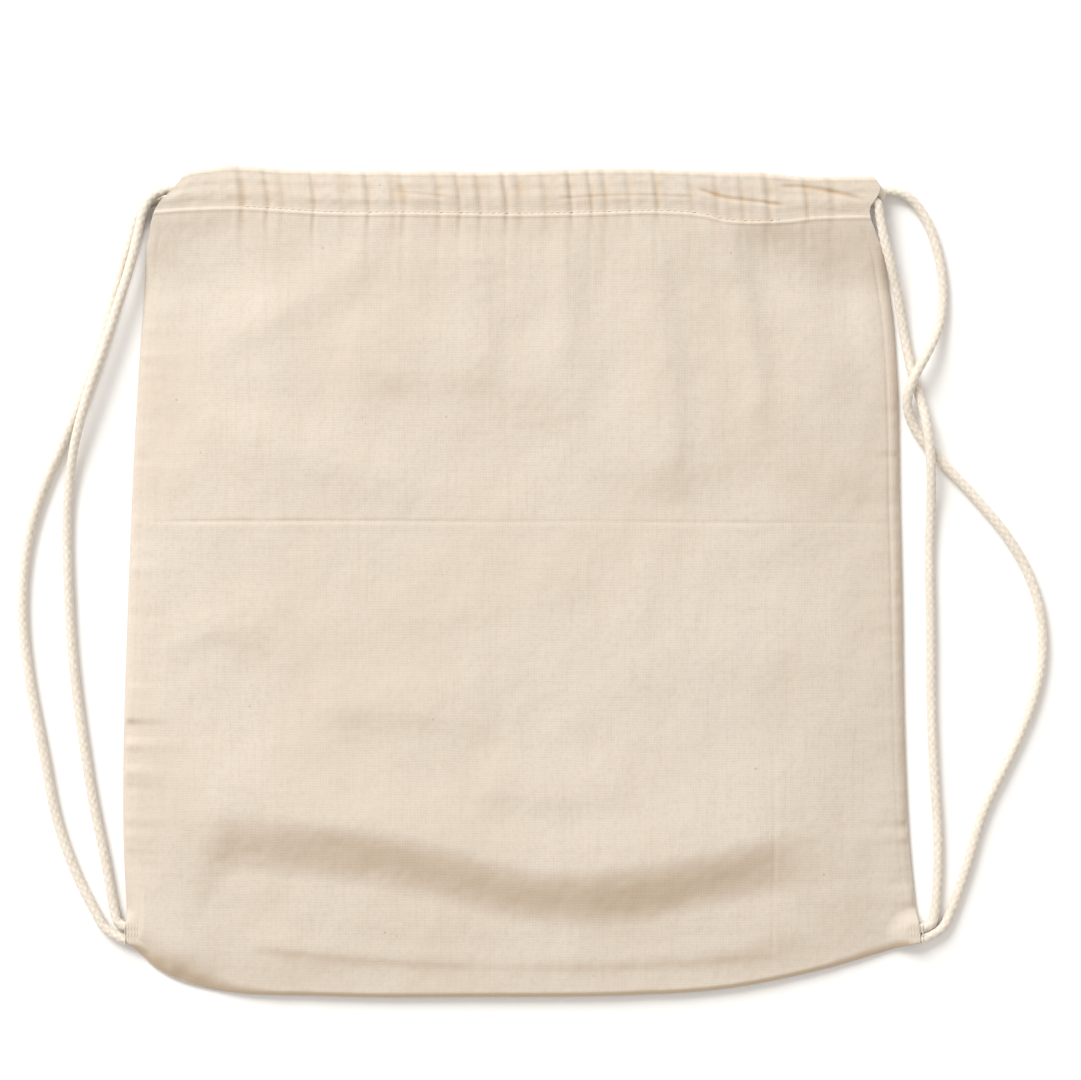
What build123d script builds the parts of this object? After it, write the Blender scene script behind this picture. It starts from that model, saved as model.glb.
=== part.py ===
"""Cotton drawstring backpack, lying flat on its back panel with the mouth towards +Y.

X runs across the bag, Y from the bottom fold to the mouth, Z up from the surface it lies on.
The back panel is flat. The front panel is a shallow arched shell over it, open at the mouth.
Each panel ends in a casing, and two cords run through both casings: each cord has its two ends
sewn into one bottom corner, so that its two free strands make that side's shoulder strap.
"""

from build123d import *
import math
import os

# --- cloth ---
cloth = 0.8                      # thickness of one layer
bag_length = 412.0               # bottom fold to the top of the casings
mouth_width = 362.0              # across the panels just under the casings
mouth_shift = -5.5               # the mouth sits a little to the left
corner_width = 395.0             # between the bottom corners
corner_rise = 28.0               # bottom corners above the lowest point of the fold
shoulder_run = 28.0              # the front panel reaches its full height this far in
lift_left = -150.0               # between here
lift_right = 140.0               # and here the front panel lifts; its margins stay with the side seams

# outward bow of each edge: (share of the way along it, distance), going round from the mouth's
# left corner down the left side, along the bottom and up the right side
left_bow = ((0.24, 3.8), (0.48, 5.2), (0.84, 4.3))
bottom_bow = (
    (0.035, 14.5), (0.10, 24.0), (0.25, 27.7), (0.45, 28.0), (0.62, 27.3), (0.753, 24.0), (0.88, 14.0), (0.945, 6.5),
)
right_bow = ((0.16, -2.0), (0.57, 3.1), (0.85, 5.7))

# --- casings ---
casing_depth = 21.0              # along Y
casing_height = 7.0
casing_round = 3.0               # outer corner radius
casing_left = -170.0             # open left end
casing_right = 174.5             # open right end
mouth_gap = 5.5                  # between the two casings

# --- cords ---
cord_diameter = 5.0
strand_spacing = 6.6             # between the two strands in one casing
bight_lead = 6.5                 # a bight runs straight this far out of the casing
bight_angle = 60                 # degrees, half the turn at a bight's tip
bend_share = 0.45                # each bend takes up to this share of the runs beside it
body_gap = 0.3                   # between the cord inside the front casing and what it leads to

# --- seams, hems and stitches ---
seam_inset = 4.5                 # side seam allowance, in from the panel's edge
seam_width = 6.5
seam_height = 1.0
slit_length = 25.0               # the side seams stop this far below the casings
hem_width = 7.0
hem_lift = 1.5                   # the front hem starts this far above the back panel's cloth
hem_clearance = 0.4              # hems stop short of the casing and of the panel's edge
stitch_length = 2.4
stitch_pitch = 3.2
stitch_width = 0.7
stitch_proud = 0.3               # stitches stand this far above the cloth
row_offset = 1.4                 # stitch row below the casing
row_margin = 12.0                # a row stops this far inside the ends of what it holds
notch_depth = 10.0               # the front panel leaves room for the cord ends, in from the corner
notch_length = 15.0
notch_height = 8.0
notch_drop = 3.0                 # below the middle of the cord ends
tack_bars = 5                    # threads in one corner bartack
tack_pitch = 1.5
tack_length = 11.0
tack_inset = 2.0                 # middle of the bartack, in from the corner
tack_drop = 1.0                  # its lower end, below the corner

# --- derived places ---
top_y = bag_length / 2
mouth_y = top_y - casing_depth
corner_y = corner_rise - bag_length / 2
casing_y = (mouth_y + top_y) / 2
casing_length = casing_right - casing_left
back_z = casing_height / 2
front_z = casing_height + mouth_gap + casing_height / 2
crown_z = front_z + cloth / 2
cord_radius = cord_diameter / 2
high_y = casing_y + strand_spacing / 2
low_y = casing_y - strand_spacing / 2
slit_y = mouth_y - slit_length
row_y = mouth_y - row_offset
slope = (crown_z - cloth) / shoulder_run
skirt = cloth * math.hypot(1, slope) / slope      # the sloping wall, measured level

mouth_left = mouth_shift - mouth_width / 2
mouth_right = mouth_shift + mouth_width / 2


def bowed(start, finish, bows):
    """Points from start to finish, with the edge bowed outwards between them."""
    along = Vector(*finish) - Vector(*start)
    outward = Vector(along.Y, -along.X).normalized()
    between = [Vector(*start) + along * share + outward * distance for share, distance in bows]
    return [Vector(*start), *between, Vector(*finish)]


def panel_outline(inset, reach=0.0):
    """A panel's outline, moved in from its sides and bottom, and past its top edge by reach."""
    top_left = (mouth_left + inset, mouth_y)
    low_left = (inset - corner_width / 2, corner_y + inset)
    low_right = (corner_width / 2 - inset, corner_y + inset)
    top_right = (mouth_right - inset, mouth_y)
    with BuildSketch(Plane.XY) as outline:
        with BuildLine():
            Spline(*bowed(top_left, low_left, left_bow))
            Spline(*bowed(low_left, low_right, bottom_bow))
            Spline(*bowed(low_right, top_right, right_bow))
            if reach:
                Polyline(top_right, (top_right[0], mouth_y + reach), (top_left[0], mouth_y + reach), top_left)
            else:
                Line(top_right, top_left)
        make_face()
    return outline.sketch


def side_edge(side, inset):
    """The left (-1) or right (+1) edge of a panel, moved in by inset, from the mouth down."""
    edge = panel_outline(inset).edges().sort_by(Axis.X)[0 if side < 0 else -1]
    return edge if (edge @ 0).Y > (edge @ 1).Y else edge.reversed()


def keep(part, node):
    """Name a finished piece and write its file."""
    part.label = node
    export_step(part, f"parts/{node}.step")


os.makedirs("parts", exist_ok=True)
sides = {"left": -1, "right": 1}

# --- panels ---
rim = panel_outline(0)
crown = panel_outline(shoulder_run)
inner_rim = panel_outline(skirt, reach=cloth)
inner_crown = panel_outline(shoulder_run + skirt - cloth / slope, reach=cloth)

with BuildPart() as back_panel:
    with BuildSketch(Plane.XY):
        add(rim)
    extrude(amount=cloth)
keep(back_panel.part, "back_panel")

with BuildPart() as front_shell:
    with BuildSketch(Plane.XY.offset(cloth)):
        add(rim)
    with BuildSketch(Plane.XY.offset(crown_z)):
        add(crown)
    loft(ruled=True)
    with BuildSketch(Plane.XY.offset(cloth)):
        add(inner_rim)
    with BuildSketch(Plane.XY.offset(crown_z - cloth)):
        add(inner_crown)
    loft(ruled=True, mode=Mode.SUBTRACT)
    # room for the cord ends in the two bottom corners
    for side in sides.values():
        with Locations((side * corner_width / 2, corner_y + notch_length / 2 - notch_drop, cloth)):
            Box(2 * notch_depth, notch_length, notch_height,
                align=(Align.CENTER, Align.CENTER, Align.MIN), mode=Mode.SUBTRACT)

# the middle of the front panel lifts when the mouth opens, and its margins stay at the side seams
front_pieces = {
    "front_panel": (lift_left, lift_right),
    "front_left_margin": (-bag_length, lift_left - body_gap),
    "front_right_margin": (lift_right + body_gap, bag_length),
}
for node, (low_x, high_x) in front_pieces.items():
    with BuildPart() as piece:
        add(front_shell.part)
        with Locations(((low_x + high_x) / 2, 0, 0)):
            Box(high_x - low_x, 2 * bag_length, 2 * bag_length, mode=Mode.INTERSECT)
    keep(piece.part, node)

# --- casings ---
for node, middle_z in (("back_casing", back_z), ("front_casing", front_z)):
    with BuildPart() as casing:
        with BuildSketch(Plane.YZ.offset(casing_left)):
            with Locations((casing_y, middle_z)):
                RectangleRounded(casing_depth, casing_height, casing_round)
                RectangleRounded(casing_depth - 2 * cloth, casing_height - 2 * cloth,
                                 casing_round - cloth, mode=Mode.SUBTRACT)
        extrude(amount=casing_length)
        if node == "back_casing":
            # the back casing's lower corner is square, where the flat panel runs into it
            with BuildSketch(Plane.YZ.offset(casing_left)):
                with BuildLine():
                    Line((mouth_y, 0), (mouth_y + casing_round, 0))
                    Line((mouth_y, 0), (mouth_y, casing_round))
                    RadiusArc((mouth_y, casing_round), (mouth_y + casing_round, 0), -casing_round)
                make_face()
            extrude(amount=casing_length)
    keep(casing.part, node)

# --- side seam allowances, inside the bag ---
for name, side in sides.items():
    with BuildPart() as side_seam:
        with BuildSketch(Plane.XY.offset(cloth)):
            add(panel_outline(seam_inset))
            add(panel_outline(seam_inset + seam_width), mode=Mode.SUBTRACT)
            with Locations((side * corner_width / 2, (slit_y + corner_y) / 2 + notch_length / 2)):
                Rectangle(corner_width / 2, slit_y - corner_y - notch_length, mode=Mode.INTERSECT)
        extrude(amount=seam_height)
    keep(side_seam.part, f"{name}_side_seam")

# --- hems of the four slit edges, where the cords leave ---
for name, side in sides.items():
    hem_zone = (side * corner_width / 2, (slit_y + mouth_y) / 2)
    with BuildPart() as back_hem:
        with BuildSketch(Plane.XY.offset(cloth)):
            add(panel_outline(seam_inset))
            add(panel_outline(seam_inset + hem_width), mode=Mode.SUBTRACT)
            with Locations(hem_zone):
                Rectangle(corner_width / 2, slit_length - 2 * hem_clearance, mode=Mode.INTERSECT)
        extrude(amount=cloth)
    keep(back_hem.part, f"{name}_back_slit_hem")

    # the front hem lies against the sloping underside of the front panel
    with BuildPart() as front_hem:
        for low, high in ((0, cloth), (cloth, 2 * cloth)):
            mode = Mode.ADD if low == 0 else Mode.SUBTRACT
            with BuildSketch(Plane.XY.offset(cloth)):
                add(panel_outline(skirt * (1 + low / cloth), reach=low))
            with BuildSketch(Plane.XY.offset(crown_z - cloth)):
                add(panel_outline(shoulder_run + skirt * (1 + low / cloth) - cloth / slope, reach=low))
            loft(ruled=True, mode=mode)
        with Locations((*hem_zone, 2 * cloth + hem_lift)):
            Box(corner_width / 4, slit_length - 2 * hem_clearance, hem_width * slope,
                align=(Align.CENTER, Align.CENTER, Align.MIN), mode=Mode.INTERSECT)
    keep(front_hem.part, f"{name}_front_slit_hem")

# --- stitch rows ---
rows = (
    ("back_casing_stitching", casing_left, casing_right, 0, cloth + stitch_proud),
    ("front_casing_stitching", lift_left, lift_right, crown_z - cloth / 2, crown_z + stitch_proud),
)
for node, low_x, high_x, low_z, high_z in rows:
    count = int((high_x - low_x - 2 * row_margin) / stitch_pitch)
    with BuildPart() as row:
        with BuildSketch(Plane.XY.offset(low_z)):
            with Locations(((low_x + high_x) / 2, row_y)):
                with GridLocations(stitch_pitch, stitch_width, count, 1):
                    SlotOverall(stitch_length, stitch_width)
        extrude(amount=high_z - low_z)
    keep(row.part, node)

seam_stitches = int((slit_y - corner_y - notch_length) / stitch_pitch) - 1
for name, side in sides.items():
    seam_line = side_edge(side, seam_inset + seam_width / 2)
    first = slit_length + stitch_pitch
    places = [seam_line @ ((first + number * stitch_pitch) / seam_line.length) for number in range(seam_stitches)]
    with BuildPart() as row:
        with BuildSketch(Plane.XY.offset(cloth + seam_height / 2)):
            with Locations(*[(place.X, place.Y) for place in places]):
                SlotOverall(stitch_length, stitch_width, rotation=90)
        extrude(amount=seam_height / 2 + stitch_proud)
    keep(row.part, f"{name}_side_stitching")

# --- cords: the strands inside the casings ---
strands = {
    "left_cord_front_run": (high_y, front_z),
    "left_cord_back_run": (low_y, back_z),
    "right_cord_front_run": (low_y, front_z),
    "right_cord_back_run": (high_y, back_z),
}
for node, place in strands.items():
    with BuildPart() as strand:
        with BuildSketch(Plane.YZ.offset(casing_left)):
            with Locations(place):
                Circle(cord_radius)
        extrude(amount=casing_length)
    keep(strand.part, node)


def cord_radii(points):
    """The largest tangent arc that each inner point of a route leaves room for."""
    runs = [Vector(*end) - Vector(*start) for start, end in zip(points, points[1:])]
    return [bend_share * min(before.length, after.length) / math.tan(math.radians(before.get_angle(after) / 2))
            for before, after in zip(runs, runs[1:])]


def bight(casing_end, outward, front_y, back_y):
    """Round from the front casing to the back casing, just outside their ends."""
    drop = math.hypot(back_y - front_y, front_z - back_z) / 2
    lead_x = casing_end + outward * bight_lead
    tip = (lead_x + outward * drop / math.tan(math.radians(bight_angle)), casing_y, (front_z + back_z) / 2)
    return ((casing_end, front_y, front_z), (lead_x, front_y, front_z), tip,
            (lead_x, back_y, back_z), (casing_end, back_y, back_z))


# Routes of the cords outside the casings. The straps lie on the surface beside the bag.
lay = cord_radius
over = lay + cord_diameter + 0.8      # one strand lying over another
left_end = casing_left - body_gap
right_end = casing_right + body_gap
cord_routes = {
    "left_cord_bight": bight(right_end, 1, high_y, low_y),
    "right_cord_bight": bight(left_end, -1, low_y, high_y),
    "left_inner_exit": (
        (left_end, high_y, front_z), (-179.5, high_y, front_z), (-187, 194.2, 15), (-190.4, 186, 11.8),
        (-191.2, 177.5, 9.6),
    ),
    "left_outer_exit": (
        (left_end, low_y, back_z), (-179.5, low_y, back_z), (-188, 190.3, 3.5), (-193, 183.3, 3.2), (-195, 175.3, lay),
    ),
    "right_inner_exit": (
        (right_end, low_y, front_z), (181, low_y, front_z), (184.8, 186.3, 14.4), (185.3, 177.5, 12.6),
    ),
    "right_outer_exit": (
        (right_end, high_y, back_z), (184, high_y, back_z), (192.5, 193.5, 3.2), (199.5, 184.5, lay), (203.3, 176.5, lay),
    ),
    "left_inner_strap": (
        (-191.5, 176, 9.3), (-195, 160, over), (-201, 141, over), (-208.3, 119, over), (-216.5, 96, over),
        (-223.5, 72, 6), (-227, 50, 3), (-228.3, 28, lay), (-227.3, -4, lay), (-225.3, -38, lay),
        (-220.5, -74, lay), (-215.2, -108, lay), (-209, -136, lay), (-204.5, -163, lay),
    ),
    "left_outer_strap": (
        (-195.6, 174.2, lay), (-201, 156, lay), (-207.5, 131, lay), (-216.5, 104, lay), (-227.5, 76, lay),
        (-240, 49, lay), (-248.5, 20, lay), (-251, -12, lay), (-247, -48, lay), (-239.5, -84, lay),
        (-234, -116, lay), (-223.5, -145, lay), (-214, -163, lay),
    ),
    "right_inner_strap": (
        (185.4, 176, 12.3), (186.2, 160, 9), (187.4, 144, 4.6), (189.5, 125, lay), (193.6, 105, lay),
        (198.3, 90, 4.6), (200.6, 78, over), (202.6, 58, over), (203, 38, 3.4), (202, 14, lay),
        (203.2, -22, lay), (203, -60, lay), (204.8, -98, lay), (207.3, -132, lay), (205.5, -164, lay),
    ),
    "right_outer_strap": (
        (203.9, 175.3, lay), (207.5, 162, lay), (209.5, 146, lay), (207.8, 130, 3.4), (201.5, 117, over),
        (191.5, 99, over), (190.4, 88, 5.2), (195, 77, lay), (205, 64.5, lay), (224.5, 44.5, lay),
        (243.5, 22, lay), (256, -3, lay), (260, -30, lay), (255.5, -56, lay), (243.5, -84, lay),
        (228.5, -113, lay), (221.5, -140, lay), (213, -164, lay),
    ),
    "left_inner_tail": ((-204, -165.2, lay), (-202, -170.5, 3.2), (-192.5, -171.6, 3.4)),
    "left_outer_tail": ((-213.2, -164.4, lay), (-208, -173.8, 3), (-197.5, -177.4, 3.4)),
    "right_inner_tail": ((205, -166.2, lay), (202.5, -171.4, 3.2), (192.5, -172, 3.4)),
    "right_outer_tail": ((212.2, -165.4, lay), (208, -173.4, 3), (197.5, -177, 3.4)),
}
for node, points in cord_routes.items():
    radii = cord_radii(points)
    with BuildPart() as strand:
        with BuildLine() as route:
            FilletPolyline(*points, radius=radii)
        path = route.wire()
        with BuildSketch(Plane(origin=path @ 0, z_dir=path % 0)):
            Circle(cord_radius)
        sweep(path=path)
    keep(strand.part, node)
    share = strand.part.volume / (math.pi * cord_radius**2 * path.length)
    print(node, "length", round(path.length, 1), "volume share", round(share, 4),
          "radii", [round(radius, 1) for radius in radii])

# --- bartacks across the sewn cord ends ---
for name, side in sides.items():
    with BuildPart() as bartack:
        with BuildSketch(Plane.XY.offset(lay + cord_radius)):
            with Locations((side * (corner_width / 2 - tack_inset), corner_y + tack_length / 2 - tack_drop)):
                with GridLocations(tack_pitch, tack_length, tack_bars, 1):
                    SlotOverall(tack_length, stitch_width, rotation=90)
        extrude(amount=2 * stitch_width)
    keep(bartack.part, f"{name}_corner_bartack")
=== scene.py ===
"""Looks of the cotton drawstring backpack, built round its CAD frame.

Lengths are written in millimetres and turned into metres by MM. The bag lies on its back panel,
mouth towards +Y, with its cords on the floor beside it.
"""

import bpy
import math
import numpy as np
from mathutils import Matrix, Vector
from mathutils.bvhtree import BVHTree


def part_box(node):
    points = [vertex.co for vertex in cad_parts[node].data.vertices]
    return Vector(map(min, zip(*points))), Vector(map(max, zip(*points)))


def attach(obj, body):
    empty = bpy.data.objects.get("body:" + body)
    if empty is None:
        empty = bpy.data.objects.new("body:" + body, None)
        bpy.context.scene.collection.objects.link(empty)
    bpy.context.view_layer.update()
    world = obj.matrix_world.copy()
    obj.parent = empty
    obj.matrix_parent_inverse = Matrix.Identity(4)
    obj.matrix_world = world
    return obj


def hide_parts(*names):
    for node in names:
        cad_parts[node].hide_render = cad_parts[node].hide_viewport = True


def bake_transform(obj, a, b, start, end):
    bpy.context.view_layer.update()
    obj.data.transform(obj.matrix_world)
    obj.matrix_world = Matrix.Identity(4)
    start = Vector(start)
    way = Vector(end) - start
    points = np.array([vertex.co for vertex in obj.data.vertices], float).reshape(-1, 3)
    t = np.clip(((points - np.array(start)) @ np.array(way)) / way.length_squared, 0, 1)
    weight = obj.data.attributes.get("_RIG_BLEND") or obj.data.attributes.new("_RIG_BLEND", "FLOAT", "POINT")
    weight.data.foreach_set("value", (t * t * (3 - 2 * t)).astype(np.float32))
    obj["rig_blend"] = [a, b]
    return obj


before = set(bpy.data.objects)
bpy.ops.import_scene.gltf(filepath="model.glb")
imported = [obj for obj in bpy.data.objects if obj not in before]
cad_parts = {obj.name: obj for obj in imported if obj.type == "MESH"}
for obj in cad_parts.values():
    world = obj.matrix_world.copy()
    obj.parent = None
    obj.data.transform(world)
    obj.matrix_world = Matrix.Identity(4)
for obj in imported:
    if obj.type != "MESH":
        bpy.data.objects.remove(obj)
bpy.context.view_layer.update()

MM = 0.001

# ------------------------------------------------------------------ places from the frame
front_low, front_high = (np.array(corner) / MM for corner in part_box("front_casing"))
back_low, back_high = (np.array(corner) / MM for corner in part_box("back_casing"))
CASING_LEFT, CASING_RIGHT = front_low[0], front_high[0]
MOUTH_Y, TOP_Y = front_low[1], front_high[1]
CASING_Y = (MOUTH_Y + TOP_Y) / 2
HALF_DEPTH = (TOP_Y - MOUTH_Y) / 2
HALF_HEIGHT = (front_high[2] - front_low[2]) / 2
BACK_Z = (back_low[2] + back_high[2]) / 2
FRONT_Z = (front_low[2] + front_high[2]) / 2
CASING_MIDDLE = (CASING_LEFT + CASING_RIGHT) / 2

CLOTH = 0.55                 # thickness of the woven cotton
FLOOR_GAP = 0.15             # the underside of the back panel above the floor
CORNER_RISE = 28.0           # bottom corners above the lowest point of the fold
CORNER_X = 197.5             # bottom corners, either side of the middle
MOUTH_SHIFT = -5.5           # middle of the mouth, off the middle of the bag
MOUTH_HALF = 181.0           # half the width of the mouth
ROW_Y = MOUTH_Y - 1.4        # stitch row under the casing
SLIT_Y = MOUTH_Y - 25.0      # the side seams end here
CORNER_Y = -TOP_Y + CORNER_RISE
CASING_LIE = 1.6             # the gathered front casing lies this much lower in the middle
CASING_SAG = 6.2             # the ends of the front casing come down this far
CROWN = 13.7                 # height of the full panel, away from the mouth
MOUTH_CROWN = 4.7            # it rises this much more towards the mouth, less the casing's drop
SLACK_HEIGHT = 8.4           # height of the slack cloth below the broad fold
BROAD_FOLD = 2.6             # the broad fold stands this far above the full panel
SEAM_Z = 1.5                 # height of the front panel at its edges
CREASE_Y = 31.5              # packing crease across the bag
CREASE_X = 124               # packing crease up its right side
CORNER_ROOM = 6.3            # height of the cloth over the sewn cord ends

CORD = 5.0                   # cord diameter
LAY = CORD / 2               # centre of a cord on the floor
OVER = LAY + CORD + 0.6      # centre of a cord over another
HIGH_Y = CASING_Y + 3.3      # the two strands in each casing
LOW_Y = CASING_Y - 3.3

# outward bow of each edge: (share of the way, distance)
LEFT_BOW = ((0, 0), (0.24, 3.8), (0.48, 5.2), (0.84, 4.3), (1, 0))
RIGHT_BOW = ((0, 0), (0.15, 5.7), (0.43, 3.1), (0.84, -2.0), (1, 0))
BOTTOM_BOW = ((0, 0), (0.035, 13.5), (0.10, 23.5), (0.25, 27.6), (0.45, 28.0), (0.62, 27.3), (0.753, 24.0),
              (0.88, 14.0), (0.945, 6.5), (1, 0))


# ------------------------------------------------------------------ small numeric helpers
def smooth(x):
    """Smooth step from 0 to 1."""
    x = np.clip(x, 0, 1)
    return x * x * (3 - 2 * x)


def curve_through(knots):
    """A smooth function through (x, y) knots: cubic pieces with averaged slopes."""
    xs, ys = np.array(knots, float).T
    chord = np.diff(ys) / np.diff(xs)
    slopes = np.concatenate([[chord[0]], (chord[1:] + chord[:-1]) / 2, [chord[-1]]])

    def value(x):
        x = np.clip(x, xs[0], xs[-1])
        k = np.clip(np.searchsorted(xs, x, side="right") - 1, 0, len(xs) - 2)
        h = xs[k + 1] - xs[k]
        t = (x - xs[k]) / h
        return ((2 * t**3 - 3 * t**2 + 1) * ys[k] + (t**3 - 2 * t**2 + t) * h * slopes[k]
                + (3 * t**2 - 2 * t**3) * ys[k + 1] + (t**3 - t**2) * h * slopes[k + 1])
    return value


def noise(x, y, size_x, size_y, seed):
    """Smooth noise from -1 to 1 with the given grain, the same each run."""
    grid = np.random.default_rng(seed).uniform(-1, 1, (257, 257))
    u, v = x / size_x + 101.3, y / size_y + 87.7
    i, j = np.floor(u).astype(int), np.floor(v).astype(int)
    a, b = smooth(u - i), smooth(v - j)

    def at(p, q):
        return grid[p % 257, q % 257]

    near = at(i, j) * (1 - a) + at(i + 1, j) * a
    far = at(i, j + 1) * (1 - a) + at(i + 1, j + 1) * a
    return near * (1 - b) + far * b


left_bow, right_bow, bottom_bow = (curve_through(bow) for bow in (LEFT_BOW, RIGHT_BOW, BOTTOM_BOW))
# the casing's two ends, x at each height, and how its stitch row and top edge lie off their straight lines
left_end = curve_through(((168, -186.2), (176, -185.2), (183, -183), (190, -179.8), (195, -176), (200, -172),
                          (206, -168)))
right_end = curve_through(((168, 177), (176, 174.2), (183, 171.6), (188, 171.8), (192, 174), (196, 176),
                           (200, 176.4), (206, 173)))
row_shift = curve_through(((-186, 2.0), (-165, 3.6), (-139, 4.0), (-117, 2.6), (-97, 1.2), (-54, 0.8),
                           (-2, 0.2), (30, 0.7), (68, 1.6), (88, 0.2), (101, -2.6), (128, -2.6),
                           (145, -0.8), (176, 0)))
top_shift = curve_through(((-186, -7), (-178, -5.2), (-171, -3.3), (-164, -0.6), (-155, 0.6), (-142, 1.5),
                           (-123, 0.4), (-97, -0.4), (-54, -1.4), (-2, -1.2), (35, -0.2), (68, -0.4),
                           (90, -1.0), (118, -1.5), (141, -3.4), (166, -3.3), (176, -3.4)))


def side_share(y):
    return np.clip((MOUTH_Y - y) / (MOUTH_Y - CORNER_Y), 0, 1)


def left_edge(y):
    share = side_share(y)
    below = (MOUTH_SHIFT - MOUTH_HALF) * (1 - share) - CORNER_X * share - left_bow(share)
    return below + (left_end(y) - below) * smooth((y - 164) / 10)


def right_edge(y):
    share = side_share(y)
    below = (MOUTH_SHIFT + MOUTH_HALF) * (1 - share) + CORNER_X * share + right_bow(share)
    return below + (right_end(y) - below) * smooth((y - 162) / 12)


def bottom_edge(x):
    return CORNER_Y - bottom_bow((x + CORNER_X) / (2 * CORNER_X))


# ------------------------------------------------------------------ the lie of the cloth
def casing_drop(x):
    """How far the front casing has come down at x."""
    off = np.abs(x - CASING_MIDDLE) / (CASING_RIGHT - CASING_MIDDLE)
    return CASING_LIE + (CASING_SAG - CASING_LIE) * smooth((off - 0.25) / 0.75)


def gathers(x, seed, spread=1.0):
    """Irregular upright puckers along the casing."""
    fine = noise(x, 0 * x, 5.2, 1, seed) + 0.8 * noise(x, 0 * x, 8.5, 1, seed + 1)
    return spread * (fine + 0.7 * noise(x, 0 * x, 15.0, 1, seed + 2))


def ridge(distance, width):
    return np.exp(-(distance / width) ** 2)


def edge_puckers(x, y, edge, low, high, seed):
    """Short puckers that run in from a side seam between two heights."""
    inside = np.abs(x - edge)
    along = noise(y, 0 * y, 4.6, 1, seed) + 0.6 * noise(y, 0 * y, 9.0, 1, seed + 1)
    reach = smooth((y - low) / 18) * smooth((high - y) / 18)
    return along * np.exp(-inside / 11) * smooth(inside / 2.5) * reach


def shifted(x, y):
    """The mouth isn't quite straight: y moved with the stitch row and the top edge."""
    low, high = row_shift(x), top_shift(x)
    up = np.clip((y - ROW_Y) / (TOP_Y - ROW_Y), 0, 1)
    below = smooth((y - ROW_Y + 45) / 45)
    return y + np.where(y > ROW_Y, low * (1 - up) + high * up, low * below)


def fold(x, y, line, height, up, down, fade=18):
    """A soft fold whose crest follows line, y at each x. up and down are its widths on either side."""
    off = y - curve_through(line)(x)
    strength = smooth((x - line[0][0]) / fade) * smooth((line[-1][0] - x) / fade)
    return height * strength * np.where(off > 0, np.exp(-(off / up) ** 2), np.exp(-(off / down) ** 2))


# soft folds across the panel: crest line (x, y), height, width above it and below it
ACROSS_FOLDS = (
    (((-108, -58), (-60, -61), (-8, -68)), 1.2, 20, 10),
    (((-98, 112), (-40, 108), (0, 101), (38, 86)), 1.1, 24, 15),
    (((-160, 118), (-110, 142), (-66, 168)), 1.2, 15, 13),
    (((-172, 80), (-110, 64), (-45, 44)), 1.1, 17, 14),
    (((100, 176), (138, 160), (178, 122)), -1.7, 17, 21),
    (((-185, -30), (-150, -22), (-120, -24)), 0.8, 12, 9),
    (((-30, -98), (20, -104), (60, -98)), 0.8, 16, 9),
    (((20, 60), (90, 66), (150, 58)), 0.6, 22, 13),
    (((60, -30), (110, -36), (170, -28)), 0.6, 20, 12),
    (((-140, -178), (-60, -186), (40, -188), (130, -182)), 0.7, 7, 4),
)
# upright folds: crest line (y, x), height, width to the right of it and to the left
UPRIGHT_FOLDS = (
    (((38, 73), (110, 70), (182, 61)), 1.7, 9, 15),
    (((66, 118), (120, 113), (178, 102)), 1.3, 7, 9),
    (((88, -18), (130, -21), (186, -26)), 1.4, 8, 17),
    (((100, 22), (150, 21), (184, 20)), 0.9, 7, 9),
    (((70, 150), (110, 148), (150, 140)), 0.7, 12, 14),
    (((-60, 60), (-20, 58), (30, 62)), 0.7, 8, 16),
    (((60, -120), (110, -124), (150, -122)), 0.6, 12, 12),
)
# pinched creases: line (x, y), depth, width
CREASES = (
    (((-66, 194.6), (-50, 192.6), (-35, 191.4)), 0.35, 1.0),
    (((14, 190.4), (50, 192.2), (86, 191.6)), 0.4, 1.0),
    (((84, 196), (98, 191.6), (112, 189.8), (131, 187.4)), 0.9, 1.1),
    (((124, 197.2), (144, 196), (156, 193.6), (171, 190)), 0.95, 1.3),
    (((146, 186), (160, 184.4), (173, 183)), 0.35, 1.0),
    (((95, 181), (112, 180.4), (128, 180.6)), 0.4, 1.0),
    (((-143, 198), (-139, 193), (-137, 190)), 0.35, 0.9),
)
# strong gathers of the casing, x of each
PUCKERS = (-139.5, -127, -119.5, -104, -89.5, -77, -64, -59.5, -42, -32, -22, -9, -2, 10.5, 23, 33, 40.5,
           52, 65.5, 83, 95.5, 108, 121, 140, 153)
# puckers along the side seams: height, edge, the stretch they lie in, seed
SEAM_PUCKERS = (
    (1.15, left_edge, -112, -40, 40),
    (0.5, left_edge, -170, -100, 41),
    (1.1, right_edge, -168, -92, 42),
    (0.35, right_edge, -90, 100, 43),
    (0.5, left_edge, -36, 140, 44),
)
broad_crest = curve_through(((-200, -108), (-150, -116), (-87, -123), (-40, -132), (8, -144), (63, -141),
                             (118, -129), (200, -112)))


def creased(x, y):
    """The pinch of the creases at a point, from 0 to about 1."""
    deep = 0 * x
    for line, depth, width in CREASES:
        off = y - curve_through(line)(x)
        ends = smooth((x - line[0][0]) / 7) * smooth((line[-1][0] - x) / 7)
        deep = deep + depth * ends * np.exp(-(off / width) ** 2)
    return deep


def mouth_puckers(x, tone=False):
    """The gathers of the casing, with the strong ones at PUCKERS. tone gives their share of painted shade, a
    deeper colour in the gathers.
    """
    rng = np.random.default_rng(5)
    depth, deep = 0.35 * gathers(x, 20), 0 * x
    for place in PUCKERS:
        size, width = rng.uniform(0.45, 1.0), rng.uniform(1.3, 2.4)
        depth = depth - size * ridge(x - place, width) + 0.45 * size * ridge(x - place + 3.0, 2.2)
        # deep: each strong gather's share of painted shade
        deep = deep + size * ridge(x - place - 0.5, width)
    return deep if tone else depth


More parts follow.
